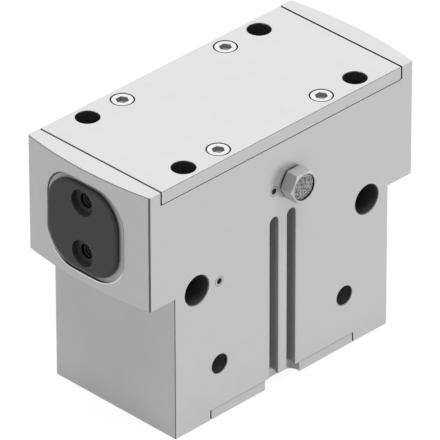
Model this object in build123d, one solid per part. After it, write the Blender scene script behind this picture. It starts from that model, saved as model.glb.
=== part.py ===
from build123d import *
import os

# Pneumatic parallel gripper, at rest with both jaws closed.
# X runs along the jaws, -Y is the face with the air ports, +Z is up.
# The origin is the middle of the bottom face. All sizes are millimetres.

# Housing: a wide head over a narrower cylinder block, with bowed head ends
depth = 70.0
head_length = 152.0
head_bow = 3.2
head_height = 54.0
body_length = 124.0
body_height = 67.6
head_corner_chamfer = 0.6
head_edge_chamfer = 0.35
body_corner_chamfer = 0.3

# Top cover, let into a channel across the head
cover_length = 137.8
cover_thickness = 6.28
cover_seam = 0.8
cover_edge_chamfer = 0.2
cover_joint_bevel = 0.4
cover_screw_inset = 19.7
cover_screw_sink = 4.1
window_margin = 5.0
cover_seal_offset = 2.5
cover_seal_width = 2.0
cover_seal_corner = 4.0
cover_seal_height = 1.4

# Bottom cap, let into the underside, with a plug that closes the cylinder
cap_length = 82.6
cap_thickness = 4.6
cap_seam = 0.7
cap_joint_bevel = 0.15
cap_plug_height = 8.0
cap_plug_bevel = 0.8
cap_screw_margin_x = 6.8
cap_screw_margin_y = 12.0
cap_screw_length = 16.0
notch_width = 20.2
notch_depth = 5.3
notch_corner = 4.0

# Mounting holes: M10 threads on top, M8 threads below, and on the front two
# M12 threads that start under a seat for a centring sleeve
mount_margin_x = 12.6
mount_margin_y = 7.4
top_clearance_radius = 5.3
top_thread_radius = 4.25
top_thread_depth = 25.0
base_thread_radius = 3.4
base_thread_depth = 18.0
side_seat_radius = 6.75
side_seat_depth = 12.0
side_thread_radius = 5.1
side_thread_depth = 21.0
side_hole_drop = 1.3
side_seat_chamfer = 0.3

# Air ports, threaded G1/8
port_inset = 12.9
port_height = 25.1
port_radius = 4.4
port_depth = 12.0
port_chamfer = 0.25

# Sensor slots with an undercut, side by side on the front
slot_spacing = 10.0
slot_opening = 5.3
slot_lip = 1.8
slot_undercut_width = 6.9
slot_depth = 6.3
slot_top = 81.7

# Jaws: rounded square slides
jaw_size = 38.2
jaw_corner = 13.6
jaw_rise = 26.4
jaw_proud = 0.6
jaw_rim = 1.0
jaw_rim_height = 1.15
jaw_edge_width = 1.1
jaw_edge_height = 0.35
jaw_fit = 0.1
mouth_ring_width = 2.8
mouth_ring_corner = 14.8
mouth_ring_sink = 1.5
finger_hole_spacing = 24.0
finger_thread_radius = 3.4
finger_thread_depth = 18.0
centring_radius = 6.0
centring_depth = 2.5
jaw_tip_gap = 2.4

# Wipers round the jaws
wiper_width = 3.4
wiper_height = 2.3
wiper_setback = 4.7
wiper_play = 0.05

# Cylinder and piston
stroke = 20.0
cylinder_radius = 25.0
piston_height = 18.0
piston_fit = 0.1
end_gap = 0.3
buffer_proud = 0.5
buffer_sink = 2.0
buffer_outer_radius = 20.0
buffer_inner_radius = 15.0
ring_play = 0.05
seal_section = 3.0
seal_margin = 1.6
guide_ring_height = 3.0
guide_ring_thickness = 1.5
magnet_height = 3.2
magnet_thickness = 2.5
magnet_sink = 0.2
ring_spacing = 0.4
piston_bevel = 0.5
lip_groove_depth = 1.2

# Piston rod, its bush and its seal
rod_radius = 10.0
rod_fit = 0.05
rod_throat_play = 1.0
rod_bevel = 0.5
rod_spigot_radius = 7.0
rod_spigot_height = 3.0
bush_wall = 2.0
press_gap = 0.01
bush_flange_radius = 13.5
bush_flange_height = 2.0
seal_land = 2.3
rod_seal_height = 4.0
rod_seal_wall = 3.5
circlip_height = 1.0
circlip_grip = 1.2
circlip_setback = 0.8
circlip_opening = 4.0

# Wedge that drives the jaws: rise over run of its sides, and its T rails
wedge_slope = 0.6
wedge_width = 25.0
wedge_floor_gap = 0.9
wedge_head_gap = 0.52
wedge_fit = 0.12
rail_neck_width = 10.0
rail_head_width = 18.0
rail_neck_height = 5.2
rail_head_height = 5.2
well_play = 1.5

# Breather beside the sensor slots
vent_x = 5.0
vent_height = 94.8
vent_key = 13.0
vent_hex_height = 6.6
vent_face_margin = 0.2
vent_chamfer_slope = 1.73
vent_washer_height = 0.8
vent_washer_radius = 6.2
vent_stub_radius = 4.8
vent_stub_length = 8.0
vent_bore_radius = 3.5
filter_rim = 0.4
filter_sink = 0.35
filter_thickness = 2.4

# Plugs that close the drilled channels: height and place across the front
channel_plug_places = [(-5.1, 94.0), (-36.6, 65.1)]
plug_radius = 2.4
plug_length = 4.5
plug_pin_radius = 1.15
plug_pin_sink = 1.0
channel_depth = 13.0

# Screws: head radius, head height, shank radius, key width and key depth
m6_low_head = (5.0, 4.0, 3.0, 5.0, 2.2)
m8_head = (6.5, 6.0, 4.0, 6.0, 3.0)
m5_shank_radius = 2.5
m5_countersunk_radius = 4.7
m5_countersunk_height = 2.4
m5_key = 3.0
m5_key_depth = 1.6
screw_play = 0.05
screw_clearance = 0.2
head_clearance = 0.25
thread_run_out = 1.0
head_bevel = 0.4
wedge_screw_sink = 0.5
piston_screw_sink = 1.0
cover_screw_length = 16.0
wedge_screw_length = 28.0
piston_screw_length = 22.0

# Levels worked out from the sizes above
height = body_height + head_height
front = -depth / 2
mount_x = body_length / 2 - mount_margin_x
mount_y = depth / 2 - mount_margin_y
side_hole_height = body_height - side_hole_drop
cover_screw_x = mount_x - cover_screw_inset
port_x = mount_x - port_inset
cap_screw_x = cap_length / 2 - cap_screw_margin_x
cap_screw_y = depth / 2 - cap_screw_margin_y
jaw_axis = body_height + jaw_rise
jaw_half = jaw_size / 2
tunnel_size = jaw_size + 2 * jaw_fit
tunnel_floor = jaw_axis - tunnel_size / 2
vent_face_radius = vent_key / 2 - vent_face_margin
filter_radius = vent_face_radius - filter_rim
head_apex = head_length / 2 + head_bow
jaw_face = head_apex + jaw_proud
cover_seat = height - cover_thickness
plug_top = cap_thickness + cap_plug_height
piston_base = plug_top + end_gap + buffer_proud
piston_top = piston_base + piston_height
cylinder_top = piston_top + stroke + buffer_proud + end_gap
circlip_base = cylinder_top + circlip_setback
rod_seal_base = circlip_base + circlip_height
bush_base = rod_seal_base + rod_seal_height + seal_land
wedge_base = tunnel_floor + wedge_floor_gap
wedge_top = cover_seat - wedge_head_gap - stroke
well_half_width = wedge_width / 2 + well_play
window_half_length = cover_length / 2 - window_margin


def wedge_half(z):
    """Half width of the resting wedge along X at height z."""
    tip = wedge_slope * (jaw_axis + jaw_half - wedge_top) + jaw_tip_gap / 2
    return tip + wedge_slope * (wedge_top - z)


def block(x0, x1, y0, y1, z0, z1):
    """A block between two corners."""
    middle = Pos((x0 + x1) / 2, (y0 + y1) / 2, (z0 + z1) / 2)
    return middle * Box(x1 - x0, y1 - y0, z1 - z0)


def post(radius, z0, z1, x=0.0, y=0.0):
    """A cylinder along Z."""
    return Pos(x, y, (z0 + z1) / 2) * Cylinder(radius, z1 - z0)


def pin(radius, y0, y1, x, z):
    """A cylinder along Y."""
    return Pos(x, (y0 + y1) / 2, z) * Rot(90, 0, 0) * Cylinder(radius, y1 - y0)


def tube(outer, inner, z0, z1):
    """A ring round the Z axis."""
    return post(outer, z0, z1) - post(inner, z0 - 1, z1 + 1)


def bar(size, corner, x0, x1):
    """A rounded square bar along X, centred on the jaw axis."""
    start = Plane(origin=(x0, 0, jaw_axis), x_dir=(0, 1, 0), z_dir=(1, 0, 0))
    return extrude(start * RectangleRounded(size, size, corner), x1 - x0)


def hexagon(key, z0, z1):
    """A hexagonal prism along Z, with flats of the given key width and points on X."""
    return Pos(0, 0, z0) * extrude(RegularPolygon(key / 2, 6, major_radius=False), z1 - z0)


def corners(x, y):
    """The four places at plus and minus x and y."""
    return [(i * x, j * y) for i in (-1, 1) for j in (-1, 1)]


def mouth_cone(radius, widening, deep):
    """A countersink opening at the origin and narrowing downwards."""
    return Pos(0, 0, -deep / 2) * Cone(radius, radius + widening, deep)


def front_mouth(radius, chamfer_size, x, z):
    """The same countersink on the front face."""
    return Pos(x, front, z) * Rot(90, 0, 0) * mouth_cone(radius, chamfer_size, chamfer_size)


def socket_screw(size, length):
    """A socket head screw pointing down, its head's top face at the origin."""
    head_radius, high, shank_radius, key, key_depth = size
    head = post(head_radius, -high, 0)
    head = chamfer(head.edges().group_by(Axis.Z)[-1], head_bevel)
    shank = post(shank_radius, -high - length, -high)
    shank = chamfer(shank.edges().group_by(Axis.Z)[0], shank_radius / 5)
    return head + shank - hexagon(key, -key_depth, 1)


def countersunk_screw(length):
    """A countersunk screw pointing down, its flat face at the origin."""
    head = Pos(0, 0, -m5_countersunk_height / 2) * Cone(
        m5_shank_radius, m5_countersunk_radius, m5_countersunk_height)
    shank = post(m5_shank_radius, -length, -m5_countersunk_height)
    return head + shank - hexagon(m5_key, -m5_key_depth, 1)


def head_blank():
    """The head before machining, with both ends bowed outwards."""
    half = head_length / 2
    side = depth / 2
    outline = make_face([
        ThreePointArc((half, -side), (head_apex, 0), (half, side)),
        Line((half, side), (-half, side)),
        ThreePointArc((-half, side), (-head_apex, 0), (-half, -side)),
        Line((-half, -side), (half, -side))])
    head = Pos(0, 0, body_height) * extrude(outline, head_height)
    head = chamfer(head.edges().filter_by(Axis.Z), head_corner_chamfer)
    return chamfer(head.edges().filter_by(GeomType.CIRCLE), head_edge_chamfer)


def body_blank():
    """The cylinder block under the head."""
    half = body_length / 2
    body = block(-half, half, -depth / 2, depth / 2, 0, body_height)
    return chamfer(body.edges().filter_by(Axis.Z), body_corner_chamfer)


def jaw_tunnel():
    """The guide that both jaws run in, with a shallow ring cut round its mouth at each end."""
    cut = bar(tunnel_size, jaw_corner + jaw_fit, -head_apex - 1, head_apex + 1)
    ring_size = tunnel_size + 2 * mouth_ring_width
    ring_floor = head_apex - mouth_ring_sink
    for side in (-1, 1):
        x0, x1 = sorted((side * ring_floor, side * (head_apex + 1)))
        cut += bar(ring_size, mouth_ring_corner, x0, x1)
    return cut


def wiper_groove(side, play=0.0):
    """The ring shaped space of one wiper, smaller all round by the play."""
    outer = tunnel_size + 2 * wiper_height
    near = head_length / 2 + head_bow - wiper_setback - wiper_width
    x0, x1 = sorted((side * (near + play), side * (near + wiper_width - play)))
    return bar(outer - 2 * play, jaw_corner + jaw_fit + wiper_height - play, x0, x1)


def sensor_slots():
    """Two undercut slots, open at the bottom and round at the top."""
    cut = None
    centre = slot_top - slot_opening / 2
    for x in (-slot_spacing / 2, slot_spacing / 2):
        for width, y0, y1 in ((slot_opening, front - 1, front + slot_depth),
                              (slot_undercut_width, front + slot_lip, front + slot_depth)):
            lane = block(x - width / 2, x + width / 2, y0, y1, -1, centre)
            lane += pin(width / 2, y0, y1, x, centre)
            cut = lane if cut is None else cut + lane
    return cut


def rod_bores():
    """Holes in the wall between cylinder and jaws: bush, rod seal and circlip."""
    seal_radius = rod_radius + rod_seal_wall
    cut = post(bush_flange_radius, tunnel_floor - bush_flange_height, tunnel_floor + 1)
    cut += post(rod_radius + bush_wall, bush_base, tunnel_floor)
    cut += post(rod_radius + rod_throat_play, cylinder_top - 1, bush_base + 1)
    cut += post(seal_radius, cylinder_top - 1, rod_seal_base + rod_seal_height)
    return cut + post(seal_radius + circlip_grip, circlip_base, rod_seal_base)


def side_hole(x):
    """One mounting hole in the front: a bevelled seat, then the thread."""
    cut = pin(side_seat_radius, front - 1, front + side_seat_depth, x, side_hole_height)
    cut += front_mouth(side_seat_radius, side_seat_chamfer, x, side_hole_height)
    return cut + pin(side_thread_radius, front, front + side_thread_depth, x, side_hole_height)


def make_housing():
    """The housing, machined from one block."""
    part = head_blank() + body_blank()
    half_cover = cover_length / 2 + cover_seam
    half_cap = cap_length / 2 + cap_seam
    part -= block(-half_cover, half_cover, -depth, depth, cover_seat, height + 1)
    part -= block(-half_cap, half_cap, -depth, depth, -1, cap_thickness)
    part -= jaw_tunnel()
    part -= wiper_groove(-1) + wiper_groove(1)
    well = wedge_half(wedge_base) + well_play
    part -= block(-well, well, -well_half_width, well_half_width, tunnel_floor, height)
    part -= block(-window_half_length, window_half_length, -well_half_width, well_half_width,
                  jaw_axis, height)
    part -= post(cylinder_radius, 0, cylinder_top)
    part -= rod_bores()
    part -= sensor_slots()
    for x, y in corners(mount_x, mount_y):
        part -= post(top_thread_radius, cover_seat - top_thread_depth, height, x, y)
        part -= post(base_thread_radius, -1, base_thread_depth, x, y)
    for x, y in corners(cover_screw_x, mount_y):
        deep = cover_seat - cover_screw_length
        part -= post(m6_low_head[2] + screw_play, deep, height, x, y)
    deep = cap_screw_length + thread_run_out
    for x, y in corners(cap_screw_x, cap_screw_y):
        part -= post(m5_shank_radius + screw_play, 0, deep, x, y)
    for side in (-1, 1):
        part -= side_hole(side * mount_x)
        part -= pin(port_radius, front - 1, front + port_depth, side * port_x, port_height)
        part -= front_mouth(port_radius, port_chamfer, side * port_x, port_height)
    part -= pin(vent_stub_radius + screw_play, front - 1, 0, vent_x, vent_height)
    for x, z in channel_plug_places:
        part -= pin(plug_radius, front - 1, front + plug_length, x, z)
        part -= pin(plug_pin_radius, front, front + channel_depth, x, z)
    return part


def cover_seal_ring(inset, z0, z1):
    """A rounded frame round the window, narrower than its groove by twice the inset."""
    long_side = 2 * (window_half_length + cover_seal_offset)
    short_side = 2 * (well_half_width + cover_seal_offset)
    wide = cover_seal_width - 2 * inset
    outer = RectangleRounded(long_side + wide, short_side + wide, cover_seal_corner)
    inner = RectangleRounded(long_side - wide, short_side - wide, cover_seal_corner - wide)
    return Pos(0, 0, z0) * extrude(outer - inner, z1 - z0)


def make_top_cover():
    """The cover plate, with its screw holes and the seal groove under it."""
    half = cover_length / 2
    plate = block(-half, half, -depth / 2, depth / 2, cover_seat, height)
    plate = chamfer(plate.edges().group_by(Axis.Z)[-1], cover_edge_chamfer)
    plate = chamfer(plate.edges().group_by(Axis.Z)[0].filter_by(Axis.X), cover_joint_bevel)
    plate -= cover_seal_ring(0, cover_seat - 1, cover_seat + cover_seal_height)
    head_hole = m6_low_head[0] + head_clearance
    for x, y in corners(mount_x, mount_y):
        plate -= post(top_clearance_radius, cover_seat - 1, height + 1, x, y)
    for x, y in corners(cover_screw_x, mount_y):
        plate -= post(m6_low_head[2] + screw_clearance, cover_seat - 1, height + 1, x, y)
        plate -= post(head_hole, height - cover_screw_sink, height + 1, x, y)
    return plate


def make_cover_seal():
    """The rubber frame between cover and housing."""
    return cover_seal_ring(ring_play, cover_seat, cover_seat + cover_seal_height)


def make_cover_screws():
    """Four low head screws, let in flush with the cover."""
    top = height - cover_screw_sink + m6_low_head[1]
    screw = socket_screw(m6_low_head, cover_screw_length - thread_run_out)
    return [Pos(x, y, top) * screw for x, y in corners(cover_screw_x, mount_y)]


def make_bottom_cap():
    """The end cap: a plate with a notch for the sensor slots and a plug with a seal groove."""
    half = cap_length / 2
    cap = block(-half, half, -depth / 2, depth / 2, 0, cap_thickness)
    cap = chamfer(cap.edges().group_by(Axis.Z)[-1].filter_by(Axis.X), cap_joint_bevel)
    notch = RectangleRounded(notch_width, 2 * notch_depth, notch_corner)
    cap -= Pos(0, front, 0) * extrude(notch, cap_thickness)
    plug = post(cylinder_radius - ring_play, cap_thickness, plug_top)
    cap += chamfer(plug.edges().group_by(Axis.Z)[-1], cap_plug_bevel)
    middle = (cap_thickness + plug_top) / 2
    cap -= tube(cylinder_radius + 1, cylinder_radius - seal_section,
                middle - seal_section / 2, middle + seal_section / 2)
    for x, y in corners(cap_screw_x, cap_screw_y):
        cap -= post(m5_shank_radius + screw_clearance, -1, cap_thickness + 1, x, y)
        sink = mouth_cone(m5_shank_radius + screw_clearance / 2,
                          m5_countersunk_radius - m5_shank_radius, m5_countersunk_height)
        cap -= Pos(x, y, 0) * Rot(180, 0, 0) * sink
    return cap


def make_cap_seal():
    """The sealing ring round the plug of the bottom cap."""
    middle = (cap_thickness + plug_top) / 2
    half = seal_section / 2 - ring_play
    return tube(cylinder_radius - ring_play, cylinder_radius - seal_section + ring_play,
                middle - half, middle + half)


def make_cap_screws():
    """Four countersunk screws that hold the bottom cap."""
    screw = Rot(180, 0, 0) * countersunk_screw(cap_screw_length)
    return [Pos(x, y, 0) * screw for x, y in corners(cap_screw_x, cap_screw_y)]


def make_jaw(side):
    """One jaw: a rim, centring holes and threads at its face, a T slot in its inner end."""
    x0, x1 = sorted((0.0, side * jaw_face))
    jaw = bar(jaw_size, jaw_corner, x0, x1)
    x0, x1 = sorted((side * (jaw_face - jaw_rim_height), side * jaw_face))
    rim = bar(jaw_size + 2 * jaw_rim, jaw_corner + jaw_rim, x0, x1)
    face = rim.faces().sort_by(Axis.X)[-1 if side > 0 else 0]
    jaw += chamfer(face.edges(), jaw_edge_width, jaw_edge_height, reference=face)
    jaw -= wedge_shape(wedge_fit, jaw_size + 2)
    turn = Rot(0, side * 90, 0)
    for step in (-0.5, 0.5):
        mouth = Pos(side * jaw_face, 0, jaw_axis + step * finger_hole_spacing) * turn
        jaw -= mouth * post(centring_radius, -centring_depth, 1)
        jaw -= mouth * post(finger_thread_radius, -finger_thread_depth, 1)
    return jaw


def sloped_prism(extra, width, z0, z1):
    """A prism across Y whose two ends follow the wedge's slopes, moved out by extra."""
    low = wedge_half(z0) + extra
    high = wedge_half(z1) + extra
    outline = Plane.XZ * Polygon((-low, z0), (low, z0), (high, z1), (-high, z1), align=None)
    return extrude(outline, width / 2, both=True)


def wedge_shape(fit, flank_width):
    """The wedge's flanks with their T rails, long enough for the whole jaw."""
    z0 = jaw_axis - jaw_half - 1
    z1 = jaw_axis + jaw_half + 1
    if fit == 0:
        z0, z1 = wedge_base, wedge_top
    neck = rail_neck_height - fit
    head = rail_neck_height + rail_head_height + fit
    rails = sloped_prism(head, rail_head_width + 2 * fit, z0, z1)
    rails -= sloped_prism(neck, rail_head_width + 2 * fit + 2, z0 - 1, z1 + 1)
    rails += sloped_prism(neck + 1, rail_neck_width + 2 * fit, z0, z1)
    return rails + sloped_prism(fit, flank_width, z0, z1)


def make_wedge():
    """The wedge that spreads and closes the jaws, screwed on the piston rod."""
    wedge = wedge_shape(0, wedge_width)
    wedge -= post(rod_spigot_radius + ring_play, wedge_base - 1, wedge_base + rod_spigot_height)
    wedge -= post(m8_head[2] + screw_clearance, wedge_base - 1, wedge_top + 1)
    head_seat = wedge_top - wedge_screw_sink - m8_head[1]
    wedge -= post(m8_head[0] + head_clearance, head_seat, wedge_top + 1)
    return wedge


def make_wedge_screw():
    """The screw that holds the wedge on the rod."""
    top = wedge_top - wedge_screw_sink
    return Pos(0, 0, top) * socket_screw(m8_head, wedge_screw_length)


def make_piston_rod():
    """The rod, with a spigot at each end and a threaded hole from each side."""
    rod = post(rod_radius, piston_top, wedge_base)
    rod = chamfer(rod.edges().group_by(Axis.Z)[-1], rod_bevel)
    upper_end = wedge_base + rod_spigot_height
    lower_end = piston_top - rod_spigot_height
    rod += post(rod_spigot_radius, wedge_base, upper_end)
    rod += post(rod_spigot_radius, lower_end, piston_top)
    wedge_screw_end = wedge_top - wedge_screw_sink - m8_head[1] - wedge_screw_length
    piston_screw_end = piston_base + piston_screw_sink + m8_head[1] + piston_screw_length
    thread = m8_head[2] + screw_play
    rod -= post(thread, wedge_screw_end - thread_run_out, upper_end + 1)
    rod -= post(thread, lower_end - 1, piston_screw_end + thread_run_out)
    return rod


def make_piston_screw():
    """The screw that holds the piston on the rod, from below."""
    screw = socket_screw(m8_head, piston_screw_length)
    return Pos(0, 0, piston_base + piston_screw_sink) * Rot(180, 0, 0) * screw


def ring_levels():
    """Base heights of the piston's rings: lower seal, magnet, guide ring, upper seal."""
    lower = piston_base + seal_margin
    upper = piston_top - seal_margin - seal_section
    middle = (piston_base + piston_top) / 2
    return lower, middle - ring_spacing - magnet_height, middle + ring_spacing, upper


def make_piston():
    """The piston, with grooves for its rings and seats for its buffers."""
    radius = cylinder_radius - piston_fit
    lower, magnet, guide, upper = ring_levels()
    piston = post(radius, piston_base, piston_top)
    piston = chamfer(piston.edges().filter_by(GeomType.CIRCLE), piston_bevel)
    for base in (lower, upper):
        piston -= tube(radius + 1, cylinder_radius - seal_section, base, base + seal_section)
    piston -= tube(radius + 1, radius - magnet_thickness, magnet, magnet + magnet_height)
    piston -= tube(radius + 1, cylinder_radius - guide_ring_thickness,
                   guide, guide + guide_ring_height)
    for z0, z1 in buffer_levels():
        piston -= tube(buffer_outer_radius, buffer_inner_radius, z0, z1)
    piston -= post(rod_spigot_radius + ring_play, piston_top - rod_spigot_height, piston_top + 1)
    piston -= post(m8_head[2] + screw_clearance, piston_base - 1, piston_top)
    head_seat = piston_base + piston_screw_sink + m8_head[1]
    piston -= post(m8_head[0] + head_clearance, piston_base - 1, head_seat)
    return piston


def buffer_levels():
    """Lower and upper height of each buffer ring on the piston."""
    low = piston_base - buffer_proud
    high = piston_top + buffer_proud
    return [(low, piston_base + buffer_sink), (piston_top - buffer_sink, high)]


def make_piston_buffers():
    """Two rubber rings that soften the ends of the stroke."""
    return [tube(buffer_outer_radius - ring_play, buffer_inner_radius + ring_play, z0, z1)
            for z0, z1 in buffer_levels()]


def lip_ring(inner, outer, z0, z1, lip_up):
    """A seal ring with a shallow groove that spreads its lips towards the pressure."""
    ring = tube(outer, inner, z0, z1)
    middle = (inner + outer) / 2
    half = (outer - inner) / 8
    if lip_up:
        return ring - tube(middle + half, middle - half, z1 - lip_groove_depth, z1 + 1)
    return ring - tube(middle + half, middle - half, z0 - 1, z0 + lip_groove_depth)


def make_piston_seals():
    """Two lip seals, one for each side of the piston."""
    lower, magnet, guide, upper = ring_levels()
    inner = cylinder_radius - seal_section + ring_play
    outer = cylinder_radius - ring_play
    return [lip_ring(inner, outer, base + ring_play, base + seal_section - ring_play, up)
            for base, up in ((lower, False), (upper, True))]


def make_piston_magnet():
    """The magnet ring that the sensors in the slots detect."""
    lower, magnet, guide, upper = ring_levels()
    radius = cylinder_radius - piston_fit
    inner = radius - magnet_thickness + ring_play
    return tube(radius - magnet_sink, inner, magnet + ring_play, magnet + magnet_height - ring_play)


def make_piston_guide_ring():
    """The slide ring that keeps the piston off the cylinder wall."""
    lower, magnet, guide, upper = ring_levels()
    inner = cylinder_radius - guide_ring_thickness + ring_play
    return tube(cylinder_radius - ring_play, inner,
                guide + ring_play, guide + guide_ring_height - ring_play)


def make_rod_bush():
    """The flanged bush that guides the rod."""
    outer = rod_radius + bush_wall - press_gap
    bush = tube(outer, rod_radius + rod_fit, bush_base, tunnel_floor)
    flange = tube(bush_flange_radius - ring_play, rod_radius + rod_fit,
                  tunnel_floor - bush_flange_height, tunnel_floor)
    return bush + flange


def make_rod_seal():
    """The lip seal under the bush."""
    outer = rod_radius + rod_seal_wall - ring_play
    return lip_ring(rod_radius + rod_fit, outer, rod_seal_base + ring_play,
                    rod_seal_base + rod_seal_height - ring_play, False)


def make_rod_seal_circlip():
    """The ring that holds the rod seal in its bore, open on one side."""
    seat = rod_radius + rod_seal_wall
    ring = tube(seat + circlip_grip - ring_play, seat - circlip_grip,
                circlip_base + ring_play, rod_seal_base - ring_play)
    half_gap = circlip_opening / 2
    return ring - block(0, 2 * seat, -half_gap, half_gap, circlip_base, rod_seal_base)


def make_wiper(side):
    """The wiper ring round one jaw, in its groove near the mouth of the tunnel."""
    hole = bar(jaw_size + 2 * rod_fit, jaw_corner + rod_fit, -jaw_face, jaw_face)
    return wiper_groove(side, wiper_play) - hole


def vent_place():
    """The breather's axis on the front face, with its Z pointing out of the face."""
    return Pos(vent_x, front, vent_height) * Rot(90, 0, 0)


def make_vent_body():
    """The breather's body: a hexagon with a threaded stub and a seat for the filter."""
    back = vent_washer_height
    face = back + vent_hex_height
    wide = vent_face_radius + vent_chamfer_slope * vent_hex_height
    cone = Pos(0, 0, (back + face) / 2) * Cone(wide, vent_face_radius, vent_hex_height)
    body = hexagon(vent_key, back, face) & cone
    body += post(vent_stub_radius, -vent_stub_length, back)
    body -= post(vent_bore_radius, -vent_stub_length - 1, face)
    body -= post(filter_radius, face - filter_sink - filter_thickness, face + 1)
    return vent_place() * body


def make_vent_filter():
    """The sintered disc in the breather."""
    face = vent_washer_height + vent_hex_height - filter_sink
    return vent_place() * post(filter_radius - press_gap, face - filter_thickness, face)


def make_vent_washer():
    """The sealing washer between the breather and the housing."""
    hole = vent_stub_radius + screw_clearance / 2
    return vent_place() * tube(vent_washer_radius, hole, 0, vent_washer_height)


def make_plug_sleeves():
    """The sleeves of the two channel plugs, flush with the front face."""
    return [pin(plug_radius - press_gap, front, front + plug_length, x, z)
            - pin(plug_pin_radius, front - 1, front + plug_length + 1, x, z)
            for x, z in channel_plug_places]


def make_plug_pins():
    """The pins pressed into the sleeves, a little below the face."""
    return [pin(plug_pin_radius - press_gap, front + plug_pin_sink, front + plug_length, x, z)
            for x, z in channel_plug_places]


parts = {
    "housing": make_housing(),
    "top_cover": make_top_cover(),
    "cover_seal": make_cover_seal(),
    "cover_screws": make_cover_screws(),
    "bottom_cap": make_bottom_cap(),
    "cap_seal": make_cap_seal(),
    "cap_screws": make_cap_screws(),
    "left_jaw": make_jaw(-1),
    "right_jaw": make_jaw(1),
    "left_jaw_wiper": make_wiper(-1),
    "right_jaw_wiper": make_wiper(1),
    "wedge": make_wedge(),
    "wedge_screw": make_wedge_screw(),
    "piston_rod": make_piston_rod(),
    "piston": make_piston(),
    "piston_screw": make_piston_screw(),
    "piston_seals": make_piston_seals(),
    "piston_magnet": make_piston_magnet(),
    "piston_guide_ring": make_piston_guide_ring(),
    "piston_buffers": make_piston_buffers(),
    "rod_bush": make_rod_bush(),
    "rod_seal": make_rod_seal(),
    "rod_seal_circlip": make_rod_seal_circlip(),
    "vent_body": make_vent_body(),
    "vent_filter": make_vent_filter(),
    "vent_washer": make_vent_washer(),
    "channel_plug_sleeves": make_plug_sleeves(),
    "channel_plug_pins": make_plug_pins(),
}

os.makedirs("parts", exist_ok=True)
for name, shape in parts.items():
    if isinstance(shape, list):
        shape = Compound(children=shape)
    export_step(shape, f"parts/{name}.step")
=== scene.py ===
import math
import random

import bpy
from mathutils import Matrix, Vector


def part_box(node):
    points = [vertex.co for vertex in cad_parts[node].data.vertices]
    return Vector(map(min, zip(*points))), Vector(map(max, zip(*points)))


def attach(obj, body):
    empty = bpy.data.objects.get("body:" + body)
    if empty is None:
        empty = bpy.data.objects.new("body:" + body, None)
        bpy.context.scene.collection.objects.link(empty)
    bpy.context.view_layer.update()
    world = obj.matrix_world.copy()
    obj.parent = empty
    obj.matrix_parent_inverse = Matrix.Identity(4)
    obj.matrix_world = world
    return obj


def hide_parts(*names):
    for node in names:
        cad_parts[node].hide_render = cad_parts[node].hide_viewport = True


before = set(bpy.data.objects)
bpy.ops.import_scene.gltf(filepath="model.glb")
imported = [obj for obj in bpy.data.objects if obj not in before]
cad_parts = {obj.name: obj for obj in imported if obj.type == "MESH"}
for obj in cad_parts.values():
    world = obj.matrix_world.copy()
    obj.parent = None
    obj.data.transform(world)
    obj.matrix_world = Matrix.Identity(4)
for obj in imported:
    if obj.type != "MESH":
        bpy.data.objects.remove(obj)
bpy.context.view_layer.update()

# Pneumatic parallel gripper: materials, threads, sintered disc, joint beads, camera and light.
# X runs along the jaws, -Y is the face with the air ports, +Z is up.
# Sizes of the gripper are in millimetres; the scene, its camera and its floor are in metres.

bpy.context.scene.view_settings.view_transform = "Standard"
random.seed(7)
MM = 0.001


def span(name):
    """Lowest and highest corner of a CAD node in millimetres."""
    low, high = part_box(name)
    return [v / MM for v in low], [v / MM for v in high]


# Sizes read from the frame
head_apex = span("housing")[1][0]
cover_low, cover_high = span("top_cover")
cap_low, cap_high = span("bottom_cap")
jaw_low, jaw_high = span("right_jaw")
screws_high = span("cover_screws")[1]
filter_low, filter_high = span("vent_filter")
washer_front = span("vent_washer")[0][1]
sleeves_low, sleeves_high = span("channel_plug_sleeves")
side = cover_high[1]
top = cover_high[2]
jaw_axis = (jaw_low[2] + jaw_high[2]) / 2
filter_radius = (filter_high[0] - filter_low[0]) / 2

# Shapes that the boxes don't tell
head_bow = 3.2
head_base = 67.6
body_half = 62.0
cap_rim = cap_low[2] + 4.6
jaw_corner = 14.6
jaw_rim = 1.15
ring_floor = 77.7
ring_depth = 1.8
ring_half = 21.95
ring_corner = 14.8
side_edge = 1.0
top_edge = 0.8
joint_reach = 2.0
screw_head_radius = 5.0
socket_reach = 3.3
sleeve_radius = 2.4
pin_radius = 1.15

# Places and sizes of the holes
mount_x = 49.4
mount_y = 27.6
side_hole_z = 66.3
side_hole_reach = 7.5
port_x = 36.5
port_z = 25.1
port_reach = 5.0
front_depth = 6.0
finger_step = 12.0
slot_half = 9.0
slot_top = 82.5
notch_half = 10.6
vent_x = 5.0
vent_z = 94.8


def grey(value):
    return (value, value, value, 1.0)


# Tones of the aluminium, with the painted shade and painted highlights of its hollows, joints,
# edges, jaw openings and plug sleeves
ANODISED = grey(0.62)
CAP = grey(0.61)
# Painted shade in the holes, ports and sensor slots, and in the joints at the ends of cover and cap
BORE_SHADE = grey(0.022)
SIDE_HOLE_SHADE = grey(0.055)
PORT_SHADE = grey(0.005)
SLOT_SHADE = grey(0.38)
# Painted shade on the rings' floors round the jaw openings
RING_FLOOR_SHADE = grey(0.12)
# Painted shade along the joint lines where cover and cap meet the housing
COVER_JOINT_SHADE = grey(0.06)
CAP_JOINT_SHADE = grey(0.45)
# Painted shade on the edge bevels, darker on upright bevels than on bevels that face up
UPRIGHT_EDGE_SHADE = grey(0.06)
LEVEL_EDGE_SHADE = grey(0.15)
# Painted shade on the rings' walls, a painted shadow of the jaw on the wall below it, and a painted
# highlight where a wall faces up
RING_WALL_SHADE = grey(0.03)
RING_BOTTOM_SHADOW = grey(0.1)
RING_LIT = grey(0.85)
# A bevel painted round the jaw openings: painted shade at the sides and above, a painted highlight
# below
RIM_SIDE_SHADE = grey(0.3)
RIM_SHADED = grey(0.05)
RIM_HIGHLIGHT = grey(0.95)
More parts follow.
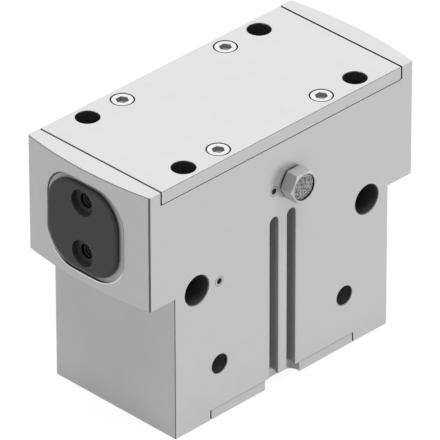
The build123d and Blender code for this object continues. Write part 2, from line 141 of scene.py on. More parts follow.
# Painted shade round the plug sleeves' outer edges and in their bores
SLEEVE_EDGE_SHADE = grey(0.13)
SLEEVE_BORE_SHADE = grey(0.07)

# Tones of the jaws, the breather and the cover's screws, with painted shade, painted light and
# painted highlights
JAW = grey(0.032)
# Painted shade on the jaws' rims and flanks, and deep in their holes
JAW_BORDER_SHADE = grey(0.02)
JAW_FLANK_SHADE = grey(0.014)
JAW_BORE_SHADE = grey(0.005)
NICKEL = grey(0.27)
# Painted light on the breather: a painted reflection on the lower facets, painted light on the top
# facets and the face, and a painted highlight on the bevels
NICKEL_LOWER_REFLECTION = grey(0.5)
NICKEL_TOP_LIGHT = grey(0.38)
NICKEL_BEVEL_HIGHLIGHT = grey(0.58)
NICKEL_FACE_LIGHT = grey(0.42)
# Painted shade in the gaps between the sintered disc's grains
GRAIN_GAP_SHADE = grey(0.07)
GRAIN = grey(0.36)
SCREW = grey(0.72)
# Painted shade in the screws' sockets, round the screw heads, and in the breather's bore and at its
# back rim
SCREW_SOCKET_SHADE = grey(0.3)
GAP_SHADE = grey(0.015)

# Finish of the aluminium, and how strongly the painted shade on its edges and on the rings' floors
# shows
SATIN = {"roughness": 0.62, "metallic": 0.05}
EDGE_STRENGTH = 0.9
RING_FLOOR_STRENGTH = 0.2

# Depths between which a surface fades into the painted shade of its hollows
HOUSING_FADE = (0.26, 0.42)
PLATE_FADE = (0.25, 0.45)
HOLE_FADE = (0.1, 0.5)
THREAD_FADE = (2.6, 3.2)

# A bevel painted round a jaw opening, in painted shade above and at the sides and with a painted
# highlight below: distances from the corner radius between which it fades in and out, how far it
# shifts, and the places and heights between which its tone changes
RIM_START = (-0.35, -0.05)
RIM_END = (0.45, 0.3)
SHADED_SHIFT = 0.45
LOWER_SHIFT = 0.3
SHADED_HEIGHTS = (10.0, 16.0)
LOWER_HEIGHTS = (-10.0, -16.0)
BACK_HEIGHTS = (-8.0, 0.0)
BACK_PLACES = (0.0, 14.0)

# Share of a surface's direction along an axis above which it faces that way, and below which
# it lies along the axis; and the shares upwards between which the painted ring highlight starts and
# ends
FACING = 0.9
ACROSS = 0.3
LIGHT_START = (0.1, 0.4)
LIGHT_END = (0.98, 0.85)

# Play in comparing a place with a plane
PLAY = 0.1


class Graph:
    """A material's node tree, with short calls for the nodes that it needs."""

    def __init__(self, name):
        self.material = bpy.data.materials.new(name)
        self.material.use_nodes = True
        self.tree = self.material.node_tree
        self.shader = self.tree.nodes["Principled BSDF"]
        coordinates = self.tree.nodes.new("ShaderNodeTexCoord")
        self.place = self.vector("SCALE", coordinates.outputs["Object"], scale=1 / MM)
        self.x, self.y, self.z = self.split(self.place)
        directions = self.split(coordinates.outputs["Normal"])
        self.up = directions[2]
        self.nx, self.ny, self.nz = [self.absolute(n) for n in directions]

    def plug(self, socket, value):
        if isinstance(value, bpy.types.NodeSocket):
            self.tree.links.new(value, socket)
        elif socket.type == "VECTOR":
            socket.default_value = value[:3]
        else:
            socket.default_value = value

    def math(self, operation, a, b=0.0):
        node = self.tree.nodes.new("ShaderNodeMath")
        node.operation = operation
        self.plug(node.inputs[0], a)
        self.plug(node.inputs[1], b)
        return node.outputs[0]

    def fold(self, operation, first, others):
        for other in others:
            first = self.math(operation, first, other)
        return first

    def minus(self, a, b):
        return self.math("SUBTRACT", a, b)

    def plus(self, first, *others):
        return self.fold("ADD", first, others)

    def times(self, first, *others):
        return self.fold("MULTIPLY", first, others)

    def least(self, first, *others):
        return self.fold("MINIMUM", first, others)

    def most(self, first, *others):
        return self.fold("MAXIMUM", first, others)

    def above(self, a, b):
        """1 where a is greater than b, 0 elsewhere."""
        return self.math("GREATER_THAN", a, b)

    def below(self, a, b):
        """1 where a is less than b, 0 elsewhere."""
        return self.math("LESS_THAN", a, b)

    def absolute(self, a):
        return self.math("ABSOLUTE", a)

    def apart(self, a, b):
        """How far a is from b."""
        return self.absolute(self.minus(a, b))

    def length(self, a, b):
        """Length of the vector (a, b)."""
        return self.math("SQRT", self.plus(self.times(a, a), self.times(b, b)))

    def from_corner(self, half, corner):
        """Distance from the corner's centre line in the jaws' rounded square section."""
        across = self.most(self.minus(self.absolute(self.y), half - corner), 0.0)
        upward = self.most(self.minus(self.apart(self.z, jaw_axis), half - corner), 0.0)
        return self.length(across, upward)

    def vector(self, operation, a, b=None, scale=None):
        node = self.tree.nodes.new("ShaderNodeVectorMath")
        node.operation = operation
        self.plug(node.inputs[0], a)
        if b is not None:
            self.plug(node.inputs[1], b)
        if scale is not None:
            self.plug(node.inputs["Scale"], scale)
        return node.outputs["Vector"]

    def scaled(self, colour, factor):
        """A colour times a number."""
        return self.vector("SCALE", colour, scale=factor)

    def split(self, vector):
        node = self.tree.nodes.new("ShaderNodeSeparateXYZ")
        self.plug(node.inputs[0], vector)
        return node.outputs[0], node.outputs[1], node.outputs[2]

    def ramp(self, value, start, end, low=0.0, high=1.0):
        """Goes smoothly from low to high as the value goes from start to end."""
        node = self.tree.nodes.new("ShaderNodeMapRange")
        node.interpolation_type = "SMOOTHSTEP"
        self.plug(node.inputs["Value"], value)
        node.inputs["From Min"].default_value = start
        node.inputs["From Max"].default_value = end
        node.inputs["To Min"].default_value = low
        node.inputs["To Max"].default_value = high
        return node.outputs["Result"]

    def noise(self, scale, detail, stretch=(1, 1, 1)):
        """Noise around 0.5 whose features are about 1/scale millimetres wide."""
        node = self.tree.nodes.new("ShaderNodeTexNoise")
        self.plug(node.inputs["Vector"], self.vector("MULTIPLY", self.place, stretch))
        node.inputs["Scale"].default_value = scale
        node.inputs["Detail"].default_value = detail
        return node.outputs["Fac"]

    def around(self, middle, spread, scale, detail, stretch=(1, 1, 1)):
        """A noise that stays within the spread on both sides of the middle."""
        noise = self.noise(scale, detail, stretch)
        return self.ramp(noise, 0.3, 0.7, middle - spread, middle + spread)

    def mix(self, factor, a, b):
        """Colour a where the factor is 0 and colour b where it is 1."""
        node = self.tree.nodes.new("ShaderNodeMix")
        node.data_type = "RGBA"
        self.plug(node.inputs["Factor"], factor)
        self.plug(node.inputs[6], a)
        self.plug(node.inputs[7], b)
        return node.outputs[2]

    def bump(self, height, strength, distance):
        node = self.tree.nodes.new("ShaderNodeBump")
        node.inputs["Strength"].default_value = strength
        node.inputs["Distance"].default_value = distance * MM
        self.plug(node.inputs["Height"], height)
        self.plug(self.shader.inputs["Normal"], node.outputs["Normal"])

    def finish(self, colour, roughness, metallic=0.0):
        self.plug(self.shader.inputs["Base Color"], colour)
        self.plug(self.shader.inputs["Roughness"], roughness)
        self.shader.inputs["Metallic"].default_value = metallic
        return self.material


def satin(graph, tone):
    """Blasted and anodised aluminium: a cloudy tone with a fine grain."""
    clouds = graph.around(1.0, spread=0.01, scale=0.12, detail=3.0)
    grain = graph.around(1.0, spread=0.025, scale=5.0, detail=2.0)
    graph.bump(graph.noise(scale=4.0, detail=3.0), strength=0.12, distance=0.05)
    return graph.scaled(tone, graph.times(clouds, grain))


def edge_shade_mask(graph):
    """Strength of the painted shade on the bevels of the outer edges, 0 elsewhere."""
    total = graph.plus(graph.nx, graph.ny, graph.nz)
    largest = graph.most(graph.nx, graph.ny, graph.nz)
    tilt = graph.ramp(graph.minus(total, largest), 0.4, 0.55)
    outer = graph.most(graph.minus(graph.absolute(graph.y), side - side_edge),
                       graph.minus(graph.z, top - top_edge))
    return graph.times(tilt, graph.above(outer, 0.0), EDGE_STRENGTH)


def hollow_shade(graph, far_x):
    """Painted shade of the metal below the surface: dark, and lighter in the sensor slots."""
    in_side_hole = graph.below(graph.apart(graph.z, side_hole_z), side_hole_reach)
    in_port = graph.times(graph.below(graph.apart(graph.z, port_z), port_reach),
                          graph.below(graph.y, front_depth - side))
    slots = graph.least(graph.minus(slot_half, far_x), graph.minus(slot_top, graph.z))
    in_slot = graph.times(graph.above(slots, 0.0), graph.below(graph.y, 0.0))
    tone = graph.mix(in_side_hole, BORE_SHADE, SIDE_HOLE_SHADE)
    tone = graph.mix(in_port, tone, PORT_SHADE)
    return graph.mix(in_slot, tone, SLOT_SHADE)


def painted_mouth_bevel(graph, in_ring):
    """Mask and tone of a bevel painted round a jaw opening: painted shade above, a painted highlight
    below.
    """
    height = graph.minus(graph.z, jaw_axis)
    behind = graph.times(graph.ramp(height, *BACK_HEIGHTS), graph.ramp(graph.y, *BACK_PLACES))
    shaded = graph.most(behind, graph.ramp(height, *SHADED_HEIGHTS))
    lower = graph.ramp(height, *LOWER_HEIGHTS)
    reach = graph.from_corner(ring_half, ring_corner)
    reach = graph.plus(reach, graph.times(shaded, SHADED_SHIFT))
    reach = graph.minus(reach, graph.times(lower, LOWER_SHIFT))
    rim = graph.times(graph.ramp(reach, *[ring_corner + step for step in RIM_START]),
                      graph.ramp(reach, *[ring_corner + step for step in RIM_END]),
                      graph.above(graph.nx, FACING), in_ring)
    tone = graph.mix(lower, graph.mix(shaded, RIM_SIDE_SHADE, RIM_SHADED), RIM_HIGHLIGHT)
    return rim, tone


def housing_material():
    """Anodised metal with painted shade in its holes, slots, joints, edges and jaw openings, and
    painted highlights there.
    """
    graph = Graph("anodised_housing")
    far_x = graph.absolute(graph.x)
    far_y = graph.absolute(graph.y)
    in_ring = graph.above(far_x, ring_floor - PLAY)

    # How deep a point lies below the faces of the head and of the cylinder block
    inward = graph.minus(side, far_y)
    bow = graph.times(far_y, far_y, head_bow / side ** 2)
    from_end = graph.minus(graph.minus(head_apex, bow), far_x)
    head = graph.least(inward, from_end, graph.minus(top, graph.z),
                       graph.minus(graph.z, head_base))
    body = graph.least(inward, graph.minus(body_half, far_x), graph.z)
    deep = graph.minus(graph.most(head, body), graph.times(in_ring, ring_depth))
    inside = graph.ramp(deep, *HOUSING_FADE)

    # Painted shade on the bevels, and in the joints at the ends of cover and cap
    edge = graph.mix(graph.above(graph.nz, ACROSS), UPRIGHT_EDGE_SHADE, LEVEL_EDGE_SHADE)
    colour = graph.mix(edge_shade_mask(graph), satin(graph, ANODISED), edge)
    upper_joint = graph.least(graph.minus(graph.z, cover_low[2]), graph.minus(from_end, joint_reach))
    lower_joint = graph.least(graph.minus(cap_rim, graph.z),
                              graph.minus(cap_high[0] + joint_reach, far_x))
    joint = graph.times(graph.above(graph.nx, FACING),
                        graph.above(graph.most(upper_joint, lower_joint), PLAY))
    colour = graph.mix(joint, colour, BORE_SHADE)

    # The shallow ring round each jaw opening: painted shade on its floor and walls, a painted
    # highlight where its wall faces up, and a painted bevel
    on_floor = graph.times(graph.below(graph.apart(far_x, ring_floor), 0.05),
                           graph.above(graph.nx, 0.99), graph.above(head, 0.08))
    colour = graph.mix(graph.times(on_floor, RING_FLOOR_STRENGTH), colour, RING_FLOOR_SHADE)
    wall = graph.times(graph.below(graph.nx, ACROSS), graph.above(head, 0.05), in_ring)
    lit = graph.times(graph.ramp(graph.up, *LIGHT_START), graph.ramp(graph.up, *LIGHT_END))
    wall_shade = graph.mix(graph.above(graph.up, FACING), RING_WALL_SHADE, RING_BOTTOM_SHADOW)
    colour = graph.mix(wall, colour, graph.mix(lit, wall_shade, RING_LIT))
    # Painted shade deep in the holes, ports and sensor slots
    colour = graph.mix(inside, colour, hollow_shade(graph, far_x))
    # Painted bevel round the jaw opening, in painted shade and painted highlight
    rim, rim_shade_and_highlight = painted_mouth_bevel(graph, in_ring)
    colour = graph.mix(rim, colour, rim_shade_and_highlight)
    return graph.finish(colour, **SATIN)


def plate_material(name, tone, half_length, on_top, joint_level, joint_shade):
    """Anodised plate with painted shade in its holes, joints, end faces and edge bevels, on top or
    at the bottom.
    """
    graph = Graph(name)
    far_x = graph.absolute(graph.x)
    inward = graph.minus(side, graph.absolute(graph.y))
    outer = graph.minus(top, graph.z) if on_top else graph.z
    inside = graph.ramp(graph.least(inward, outer), *PLATE_FADE)
    # Painted shade along the joint line with the housing, and on the plate's end faces in the joints
    joint = graph.times(graph.below(graph.apart(graph.z, joint_level), 0.5),
                        graph.above(graph.ny, 0.5))
    ends = graph.times(graph.above(graph.nx, FACING), graph.above(far_x, half_length - PLAY))
    if not on_top:
        in_notch = graph.times(graph.below(far_x, notch_half),
                               graph.below(graph.y, front_depth - side))
        inside = graph.times(inside, graph.minus(1.0, in_notch))
    colour = graph.mix(edge_shade_mask(graph), satin(graph, tone), LEVEL_EDGE_SHADE)
    colour = graph.mix(joint, colour, joint_shade)
    colour = graph.mix(graph.most(inside, ends), colour, BORE_SHADE)
    return graph.finish(colour, **SATIN)


def jaw_material():
    """Dark coated steel with painted shade on its rim and flank and black painted shade deep in its
    holes.
    """
    graph = Graph("coated_jaw")
    sunk = graph.minus(jaw_high[0], graph.absolute(graph.x))
    core = graph.below(graph.from_corner(jaw_high[1], jaw_corner), jaw_corner - jaw_rim)
    border = graph.minus(1.0, core)
    hole = graph.times(graph.ramp(sunk, *HOLE_FADE), core)
    deep = graph.times(graph.ramp(sunk, *THREAD_FADE), core)
    flank = graph.times(graph.ramp(graph.nx, FACING, ACROSS), border)
    colour = graph.scaled(JAW, graph.around(1.0, spread=0.1, scale=3.0, detail=3.0))
    colour = graph.mix(border, colour, JAW_BORDER_SHADE)
    colour = graph.mix(flank, colour, JAW_FLANK_SHADE)
    colour = graph.mix(hole, colour, JAW)
    colour = graph.mix(deep, colour, JAW_BORE_SHADE)
    graph.shader.inputs["Specular IOR Level"].default_value = 0.3
    graph.bump(graph.noise(scale=6.0, detail=2.0), strength=0.1, distance=0.03)
    return graph.finish(colour, roughness=0.5)


def breather_material():
    """Nickel plated hexagon: painted light by facet, painted highlights on bevels, painted shade
    inside.
    """
    graph = Graph("nickel_breather")
    height = graph.minus(graph.z, vent_z)
    radius = graph.length(graph.minus(graph.x, vent_x), height)
    face = graph.ramp(graph.ny, 0.9, 0.97)
    bevel = graph.ramp(graph.ny, 0.3, 0.6)
    upper = graph.above(graph.nz, 0.8)
    lower = graph.below(height, 0.0)
    bore = graph.times(graph.below(radius, filter_radius + 0.15), graph.ramp(graph.ny, 0.6, 0.3))
    joint = graph.above(graph.y, washer_front - 0.35)
    colour = graph.mix(lower, NICKEL, NICKEL_LOWER_REFLECTION)
    colour = graph.mix(upper, colour, NICKEL_TOP_LIGHT)
    colour = graph.mix(bevel, colour, NICKEL_BEVEL_HIGHLIGHT)
    colour = graph.mix(face, colour, NICKEL_FACE_LIGHT)
    colour = graph.scaled(colour, graph.around(1.0, spread=0.05, scale=2.0, detail=3.0))
    colour = graph.mix(graph.most(bore, joint), colour, GAP_SHADE)
    graph.bump(graph.noise(scale=3.0, detail=2.0), strength=0.1, distance=0.02)
    return graph.finish(colour, roughness=0.5, metallic=0.2)


def cover_screw_material():
    """Bright plated screw with painted shade in its socket and a ring of painted shade round its
    head.
    """
    graph = Graph("plated_cover_screw")
    dx = graph.minus(graph.absolute(graph.x), screws_high[0] - screw_head_radius)
    dy = graph.minus(graph.absolute(graph.y), screws_high[1] - screw_head_radius)
    radius = graph.length(dx, dy)
    sunk = graph.minus(screws_high[2], graph.z)
    socket = graph.times(graph.ramp(sunk, *HOLE_FADE), graph.below(radius, socket_reach))
    outline = graph.ramp(radius, screw_head_radius - 0.55, screw_head_radius - 0.4)
    colour = graph.scaled(SCREW, graph.around(1.0, spread=0.05, scale=2.0, detail=3.0))
    colour = graph.mix(socket, colour, SCREW_SOCKET_SHADE)
    colour = graph.mix(outline, colour, GAP_SHADE)
    return graph.finish(colour, roughness=0.5, metallic=0.2)


def sleeve_material():
    """Anodised plug sleeve with painted shade inside and a fine line of painted shade round its
    outer edge.
    """
    graph = Graph("plug_sleeve")
    half_x = (sleeves_high[0] - sleeves_low[0]) / 2
    half_z = (sleeves_high[2] - sleeves_low[2]) / 2
    from_x = graph.apart(graph.x, sleeves_low[0] + half_x)
    from_z = graph.apart(graph.z, sleeves_low[2] + half_z)
    radius = graph.length(graph.minus(from_x, half_x - sleeve_radius),
                          graph.minus(from_z, half_z - sleeve_radius))
    outline = graph.ramp(radius, sleeve_radius - 0.35, sleeve_radius - 0.2)
    bore = graph.ramp(radius, pin_radius + 0.4, pin_radius + 0.25)
    colour = graph.mix(outline, satin(graph, ANODISED), SLEEVE_EDGE_SHADE)
    colour = graph.mix(bore, colour, SLEEVE_BORE_SHADE)
    return graph.finish(colour, **SATIN)


def metal(name, tone, roughness, metallic, grain=2.0, contrast=0.05, stretch=(1, 1, 1)):
    """Plain machined metal with a fine grain."""
    graph = Graph(name)
    fine = graph.around(1.0, contrast, scale=grain, detail=3.0, stretch=stretch)
    shine = graph.around(roughness, spread=0.05, scale=grain / 2, detail=2.0, stretch=stretch)
    graph.bump(graph.noise(grain * 2, 2.0, stretch), strength=0.1, distance=0.02)
    return graph.finish(graph.scaled(tone, fine), shine, metallic)


def soft(name, tone, roughness):
    """Moulded rubber or plastic with a faint mottle."""
    graph = Graph(name)
    mottle = graph.around(1.0, spread=0.15, scale=1.5, detail=4.0)
    graph.bump(graph.noise(scale=5.0, detail=3.0), strength=0.2, distance=0.03)
    return graph.finish(graph.scaled(tone, mottle), roughness)


def dress(material, *names):
    """Gives CAD nodes their material."""
    for name in names:
        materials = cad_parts[name].data.materials
        materials.clear()
        materials.append(material)


# Outside
dress(housing_material(), "housing")
dress(plate_material("anodised_cover", ANODISED, cover_high[0], True, cover_low[2], COVER_JOINT_SHADE),
      "top_cover")
dress(plate_material("anodised_cap", CAP, cap_high[0], False, cap_rim, CAP_JOINT_SHADE), "bottom_cap")
dress(jaw_material(), "left_jaw", "right_jaw")
dress(cover_screw_material(), "cover_screws")
dress(breather_material(), "vent_body")
# The washer's near-black tone is partly its own and partly painted shade round the breather's back
# rim
dress(metal("dark_washer", grey(0.02), roughness=0.6, metallic=0.0), "vent_washer")
dress(metal("zinc_plated", grey(0.7), roughness=0.35, metallic=0.7),
      "cap_screws", "wedge_screw", "piston_screw")
dress(sleeve_material(), "channel_plug_sleeves")
dress(metal("plug_pin", grey(0.12), roughness=0.5, metallic=0.3), "channel_plug_pins")

# Inside
dress(metal("chromed_rod", grey(0.65), roughness=0.12, metallic=1.0, grain=3.0, contrast=0.02),
      "piston_rod")
dress(metal("ground_steel", grey(0.42), roughness=0.3, metallic=0.9, contrast=0.06,
            stretch=(0.2, 3, 1)), "wedge", "rod_seal_circlip")
dress(metal("turned_piston", grey(0.6), roughness=0.35, metallic=0.8, grain=1.0, contrast=0.04,
            stretch=(1, 1, 8)), "piston")
dress(metal("bearing_bronze", (0.5, 0.33, 0.14, 1), roughness=0.35, metallic=0.8), "rod_bush")
dress(soft("black_nitrile", grey(0.02), roughness=0.6),
      "cover_seal", "cap_seal", "piston_seals", "piston_buffers")
dress(soft("polyurethane", (0.03, 0.07, 0.06, 1), roughness=0.45),
      "left_jaw_wiper", "right_jaw_wiper", "rod_seal")
dress(soft("bonded_magnet", grey(0.04), roughness=0.5), "piston_magnet")
dress(soft("filled_slide_ring", (0.2, 0.12, 0.05, 1), roughness=0.5), "piston_guide_ring")


def new_object(name, vertices, faces, material, smooth=False):
    """A mesh object in the scene."""
    mesh = bpy.data.meshes.new(name)
    mesh.from_pydata(vertices, [], faces)
    mesh.validate()
    mesh.polygons.foreach_set("use_smooth", [smooth] * len(mesh.polygons))
    mesh.materials.append(material)
    piece = bpy.data.objects.new(name, mesh)
    bpy.context.scene.collection.objects.link(piece)
    return piece


# Thread ridges in the tapped holes: radius of the hole, pitch, length and depth of the start
PORT_THREAD = (4.4, 0.907, 11.0, 0.5)
SIDE_THREAD = (5.1, 1.75, 8.5, 12.2)
JAW_THREAD = (3.4, 1.25, 14.0, 2.7)
TOP_THREAD = (4.25, 1.5, 20.0, 0.3)
BASE_THREAD = (3.4, 1.25, 16.0, 0.4)
THREAD_STEPS = 28
THREAD_GAP = 0.03

# Half the width, the height and the height at the ends of a ridge, as shares of the pitch
RIDGE_HALF_WIDTH = 0.3
RIDGE_HEIGHT = 0.33
RIDGE_END_HEIGHT = 0.0165


def thread(name, sizes, mouth, direction, body, material):
    """A helical ridge on the wall of a hole that goes from its mouth along direction."""
    radius, pitch, length, depth = sizes
    turn = Vector(direction).to_track_quat("Z", "Y").to_matrix()
    start = Vector([place + depth * way for place, way in zip(mouth, direction)])
    count = int((length - pitch) / pitch * THREAD_STEPS)
    half_width = RIDGE_HALF_WIDTH * pitch
    root = radius - THREAD_GAP
    vertices = []
    for i in range(count + 1):
        angle = 2 * math.pi * i / THREAD_STEPS
        middle = pitch / 2 + pitch * i / THREAD_STEPS
        rise = min(1.0, i / THREAD_STEPS, (count - i) / THREAD_STEPS)
        crest = root - pitch * max(rise * RIDGE_HEIGHT, RIDGE_END_HEIGHT)
        for r, z in ((root, middle - half_width), (crest, middle), (root, middle + half_width)):
            local = Vector((r * math.cos(angle), r * math.sin(angle), z))
            vertices.append((start + turn @ local) * MM)
    faces = [(0, 2, 1), (3 * count, 3 * count + 1, 3 * count + 2)]
    for i in range(count):
        a = 3 * i
        for j in range(3):
            k = (j + 1) % 3
            faces.append((a + j, a + k, a + 3 + k, a + 3 + j))
    piece = new_object(name, vertices, faces, material)
    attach(piece, body)


# The threads' near-black tones are painted shade of the holes they sit in
shaded_thread_metal = metal("cut_thread_shade", grey(0.036), roughness=0.45, metallic=0.3)
jaw_thread_shade = metal("jaw_thread_shade", grey(0.008), roughness=0.5, metallic=0.2)
for sign, hand in ((-1, "left"), (1, "right")):
    thread(f"{hand}_port_thread", PORT_THREAD, (sign * port_x, -side, port_z), (0, 1, 0),
           "housing_body", shaded_thread_metal)
    thread(f"{hand}_side_thread", SIDE_THREAD, (sign * mount_x, -side, side_hole_z), (0, 1, 0),
           "housing_body", shaded_thread_metal)
    for step, row in ((-1, "lower"), (1, "upper")):
        thread(f"{hand}_jaw_{row}_thread", JAW_THREAD,
               (sign * jaw_high[0], 0, jaw_axis + step * finger_step), (-sign, 0, 0),
               f"{hand}_jaw_body", jaw_thread_shade)
    for step, row in ((-1, "front"), (1, "back")):
        thread(f"{hand}_{row}_top_thread", TOP_THREAD,
               (sign * mount_x, step * mount_y, cover_low[2]), (0, 0, -1),
               "housing_body", shaded_thread_metal)
        thread(f"{hand}_{row}_base_thread", BASE_THREAD,
               (sign * mount_x, step * mount_y, 0), (0, 0, 1),
               "housing_body", shaded_thread_metal)

# Sintered disc of the breather: fused grains in place of the plain disc.
# The rows of grains lie a share of the grains' pitch apart.
GRAIN_PITCH = 0.62
ROW_SHARE = 0.87
GRAIN_SHIFT = 0.14
GRAIN_RADII = (0.30, 0.46)
GRAIN_DROPS = (-0.12, 0.0)
GRAIN_TOP = 0.42
GRAIN_LIGHT_HEIGHT = 0.4
DISC_FACE = 0.45
DISC_BEVEL = 0.3
DISC_MARGIN = 0.2
DISC_RINGS = 40
DISC_SPOKES = 160


def scatter_grains():
    """Places, radii and drops of the grains, in shifted rows."""
    grains = []
    rows = int(filter_radius / (GRAIN_PITCH * ROW_SHARE)) + 1
    for i in range(-rows, rows + 1):
        for j in range(-rows, rows + 1):
            x = (j + 0.5 * (i % 2)) * GRAIN_PITCH + random.uniform(-GRAIN_SHIFT, GRAIN_SHIFT)
            z = i * GRAIN_PITCH * ROW_SHARE + random.uniform(-GRAIN_SHIFT, GRAIN_SHIFT)
            if math.hypot(x, z) < filter_radius - DISC_MARGIN:
                grains.append((x, z, random.uniform(*GRAIN_RADII), random.uniform(*GRAIN_DROPS)))
    return grains


def grain_height(grains, px, pz):
    """Height of the grains over the disc's face, lower towards its edge."""
    height = 0.0
    for gx, gz, radius, drop in grains:
        gap = (px - gx) ** 2 + (pz - gz) ** 2
        if gap < radius * radius:
            height = max(height, math.sqrt(radius * radius - gap) + drop)
    edge = min(1.0, (filter_radius - math.hypot(px, pz)) / DISC_BEVEL)
    return min(height, GRAIN_TOP) * max(edge, 0.0)


def grain_material():
    """Fused metal grains, with painted shade in the gaps between them."""
    graph = Graph("sintered_grains")
    shade = graph.tree.nodes.new("ShaderNodeAttribute")
    shade.attribute_name = "height"
    light = graph.ramp(shade.outputs["Fac"], 0.15, 0.9)
    patches = graph.ramp(graph.noise(scale=1.1, detail=3.0), 0.35, 0.65, low=0.7, high=1.25)
    colour = graph.scaled(graph.mix(light, GRAIN_GAP_SHADE, GRAIN), patches)
    return graph.finish(colour, roughness=0.5, metallic=0.4)


def spoke(j, radius):
    """Point on a spoke of the disc's mesh, at a radius."""
    angle = 2 * math.pi * j / DISC_SPOKES
    return radius * math.cos(angle), radius * math.sin(angle)


def sintered_disc():
    """Closed disc whose front is a field of grains, in place of the frame's plain one."""
    grains = scatter_grains()
    places = [(0.0, 0.0)]
    for i in range(1, DISC_RINGS + 1):
        places += [spoke(j, filter_radius * i / DISC_RINGS) for j in range(DISC_SPOKES)]
    points = []
    shades = []
    for px, pz in places:
        height = grain_height(grains, px, pz)
        points.append(Vector((vent_x + px, filter_low[1] + DISC_FACE - height, vent_z + pz)) * MM)
        shades.append(min(1.0, height / GRAIN_LIGHT_HEIGHT))
    faces = [(0, 1 + j, 1 + (j + 1) % DISC_SPOKES) for j in range(DISC_SPOKES)]
    for i in range(DISC_RINGS - 1):
        a = 1 + i * DISC_SPOKES
        for j in range(DISC_SPOKES):
            k = (j + 1) % DISC_SPOKES
            faces.append((a + j, a + DISC_SPOKES + j, a + DISC_SPOKES + k, a + k))
    rim = 1 + (DISC_RINGS - 1) * DISC_SPOKES
    base = len(points)
    for j in range(DISC_SPOKES):
        px, pz = spoke(j, filter_radius)
        points.append(Vector((vent_x + px, filter_high[1], vent_z + pz)) * MM)
        shades.append(0.0)
        k = (j + 1) % DISC_SPOKES
        faces.append((rim + j, base + j, base + k, rim + k))
    faces.append(tuple(base + j for j in reversed(range(DISC_SPOKES))))
    piece = new_object("sintered_disc", points, faces, grain_material(), smooth=True)
    attribute = piece.data.attributes.new("height", "FLOAT", "POINT")
    attribute.data.foreach_set("value", shades)
    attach(piece, "housing_body")
    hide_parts("vent_filter")


sintered_disc()

# Dark bead that stands for the shade in the joints at both ends of the cover and of the cap
COVER_GAP = 0.8
CAP_GAP = 0.7
BEAD_PLAY = 0.02
BEAD_RECESS = 0.4
BEAD_SAG = 0.12
BEAD_STEPS = 6


def joint_bead(name, near, gap, face, back, sign):
    """A bead that fills a joint from its hollow face to its back, at one end of the object."""
    low = near + BEAD_PLAY
    high = near + gap - BEAD_PLAY
    inwards = math.copysign(BEAD_SAG, back - face)
    profile = [(low, back), (high, back)]
    for i in range(BEAD_STEPS + 1):
        share = i / BEAD_STEPS
        profile.append((high + (low - high) * share, face + inwards * math.sin(math.pi * share)))
    half = side - BEAD_RECESS
    count = len(profile)
    vertices = [Vector((sign * x, y, z)) * MM for y in (-half, half) for x, z in profile]
    faces = [tuple(range(count)), tuple(reversed(range(count, 2 * count)))]
    for i in range(count):
        k = (i + 1) % count
        faces.append((i, count + i, count + k, k))
    if sign * (face - back) < 0:
        faces = [tuple(reversed(corners)) for corners in faces]
    piece = new_object(name, vertices, faces, joint_gap_shade)
    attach(piece, "housing_body")


# Near-black beads standing for the shade in the joints
joint_gap_shade = soft("joint_gap_shade", grey(0.01), roughness=0.7)
for sign, hand in ((-1, "left"), (1, "right")):
    joint_bead(f"{hand}_cover_joint", cover_high[0], COVER_GAP, top - BEAD_RECESS,
               cover_low[2] + BEAD_PLAY, sign)
    joint_bead(f"{hand}_cap_joint", cap_high[0], CAP_GAP, BEAD_RECESS, cap_rim - BEAD_PLAY, sign)

# Camera at the photograph's viewing angle
camera_azimuth = math.radians(-44.958)
camera_elevation = math.radians(31.974)
camera_roll = math.radians(-0.108)
camera_distance = 3.15268
camera_target = Vector((-0.0012, 0.0, 0.06323))
sensor_width = 36.0
focal_pixels = 7666.72
image_width = 440.0

backward = Vector((math.sin(camera_azimuth) * math.cos(camera_elevation),
                   -math.cos(camera_azimuth) * math.cos(camera_elevation),
                   math.sin(camera_elevation)))
across = Vector((math.cos(camera_azimuth), math.sin(camera_azimuth), 0.0))
upward = backward.cross(across)
turned = Matrix((across, upward, backward)).transposed().to_4x4()
camera_data = bpy.data.cameras.new("camera")
camera_data.sensor_width = sensor_width
camera_data.lens = focal_pixels * sensor_width / image_width
camera = bpy.data.objects.new("camera", camera_data)
camera.matrix_world = (Matrix.Translation(camera_target + backward * camera_distance)
                       @ turned @ Matrix.Rotation(camera_roll, 4, "Z"))
bpy.context.scene.collection.objects.link(camera)
bpy.context.scene.camera = camera


# Light: a key from the front right, one lamp above and one from the left, in a white surround
def lamp(name, strength, towards, spread):
    """A distant lamp that shines from the given direction."""
    data = bpy.data.lights.new(name, "SUN")
    data.energy = strength
    data.angle = math.radians(spread)
    item = bpy.data.objects.new(name, data)
    item.rotation_euler = Vector(towards).to_track_quat("Z", "Y").to_euler()
    bpy.context.scene.collection.objects.link(item)


lamp("key_lamp", strength=0.93, towards=(0.57, -0.85, -0.36), spread=22)
lamp("top_lamp", strength=2.79, towards=(0.0, -0.02, 1.0), spread=50)
lamp("side_lamp", strength=0.36, towards=(-1.0, 0.0, 0.05), spread=20)


def seen_directly(tree):
    """1 for camera, glossy and transmission rays."""
    path = tree.nodes.new("ShaderNodeLightPath")
    either = path.outputs["Is Camera Ray"]
    for name in ("Is Glossy Ray", "Is Transmission Ray"):
        joined = tree.nodes.new("ShaderNodeMath")
        joined.operation = "MAXIMUM"
        tree.links.new(either, joined.inputs[0])
        tree.links.new(path.outputs[name], joined.inputs[1])
        either = joined.outputs[0]
    return either


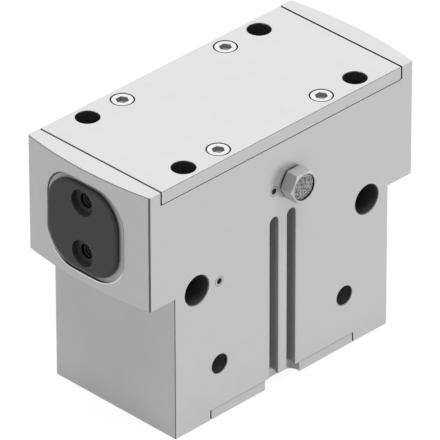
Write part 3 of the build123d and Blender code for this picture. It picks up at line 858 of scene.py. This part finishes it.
SURROUND_LIGHT = 0.3
world = bpy.data.worlds.new("surround")
world.use_nodes = True
bpy.context.scene.world = world
background = world.node_tree.nodes["Background"]
background.inputs["Color"].default_value = (1, 1, 1, 1)
brightness = world.node_tree.nodes.new("ShaderNodeMapRange")
brightness.inputs["To Min"].default_value = SURROUND_LIGHT
brightness.inputs["To Max"].default_value = 1.0
world.node_tree.links.new(seen_directly(world.node_tree), brightness.inputs["Value"])
world.node_tree.links.new(brightness.outputs["Result"], background.inputs["Strength"])

# Pale floor, white to the camera apart from the object's shadow
FLOOR_HALF = 6.0
FLOOR_LEVEL = -0.0001  # just under the object, so that no faces lie in one plane
FLOOR_GLOW = 1.06
GLOW_SHARE = 0.9

floor_material = bpy.data.materials.new("pale_floor")
floor_material.use_nodes = True
floor_tree = floor_material.node_tree
floor_shader = floor_tree.nodes["Principled BSDF"]
floor_shader.inputs["Base Color"].default_value = (0.5, 0.5, 0.5, 1)
floor_shader.inputs["Roughness"].default_value = 0.9
floor_shader.inputs["Specular IOR Level"].default_value = 0.0
glow = floor_tree.nodes.new("ShaderNodeEmission")
glow.inputs["Color"].default_value = (1, 1, 1, 1)
glow.inputs["Strength"].default_value = FLOOR_GLOW
glow_share = floor_tree.nodes.new("ShaderNodeMath")
glow_share.operation = "MULTIPLY"
glow_share.inputs[1].default_value = GLOW_SHARE
floor_mix = floor_tree.nodes.new("ShaderNodeMixShader")
floor_tree.links.new(seen_directly(floor_tree), glow_share.inputs[0])
floor_tree.links.new(glow_share.outputs[0], floor_mix.inputs["Fac"])
floor_tree.links.new(floor_shader.outputs["BSDF"], floor_mix.inputs[1])
floor_tree.links.new(glow.outputs["Emission"], floor_mix.inputs[2])
floor_tree.links.new(floor_mix.outputs[0], floor_tree.nodes["Material Output"].inputs["Surface"])
corners = [(x * FLOOR_HALF, y * FLOOR_HALF, FLOOR_LEVEL)
           for x, y in ((-1, -1), (1, -1), (1, 1), (-1, 1))]
floor = new_object("floor", corners, [(0, 1, 2, 3)], floor_material)
floor.visible_shadow = False  # it takes shadows, but doesn't block the low front lamp
